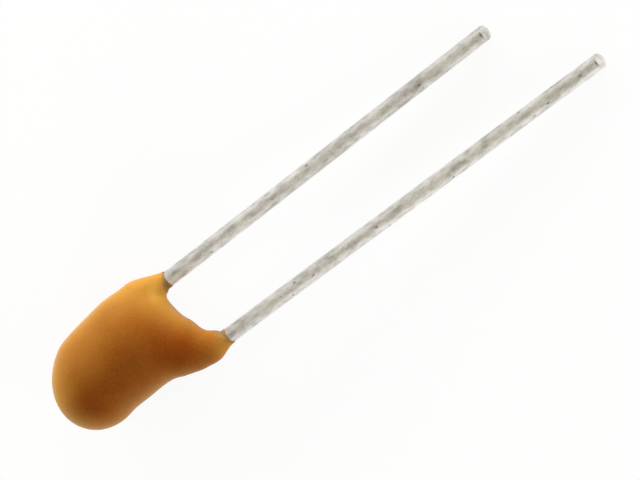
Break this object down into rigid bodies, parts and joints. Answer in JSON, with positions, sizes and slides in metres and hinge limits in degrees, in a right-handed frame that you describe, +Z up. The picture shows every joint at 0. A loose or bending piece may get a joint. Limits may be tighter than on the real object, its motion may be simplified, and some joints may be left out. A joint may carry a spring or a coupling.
{
  "type": "tantalum capacitor",
  "caption": "Small dipped capacitor: a bean-shaped bead of satin orange-brown resin over a sintered pellet, with two long straight tinned wire leads.",
  "frame": {"origin": "on the floor, at the centre of the part's outline seen from above, as it lies at rest on its belly and both lead tips", "axes": "+X runs from the bead toward the lead tips, +Y toward the cathode lead's side, +Z up from the floor"},
  "size_m": [0.0206, 0.0038, 0.003],
  "materials": {
    "resin": "satin dipped epoxy, orange-brown, unmarked",
    "tinned_wire": "hot tinned wire, dull and mottled",
    "tantalum": "sintered tantalum powder, dark grey",
    "tantalum_wire": "drawn tantalum wire, blue-grey",
    "washer": "white fluoropolymer disc",
    "manganese": "black manganese dioxide, sooty",
    "graphite": "dark grey graphite coat",
    "silver": "matt silver-filled paint",
    "solder": "soft solder, smooth"
  },
  "bodies": {
    "root": {"epoxy_coat": "resin", "cathode_lead": "tinned_wire", "anode_lead": "tinned_wire", "tantalum_pellet": "tantalum", "riser_wire": "tantalum_wire", "insulating_washer": "washer", "manganese_dioxide_layer": "manganese", "graphite_layer": "graphite", "silver_layer": "silver", "cathode_solder": "solder"}
  },
  "joints": []
}
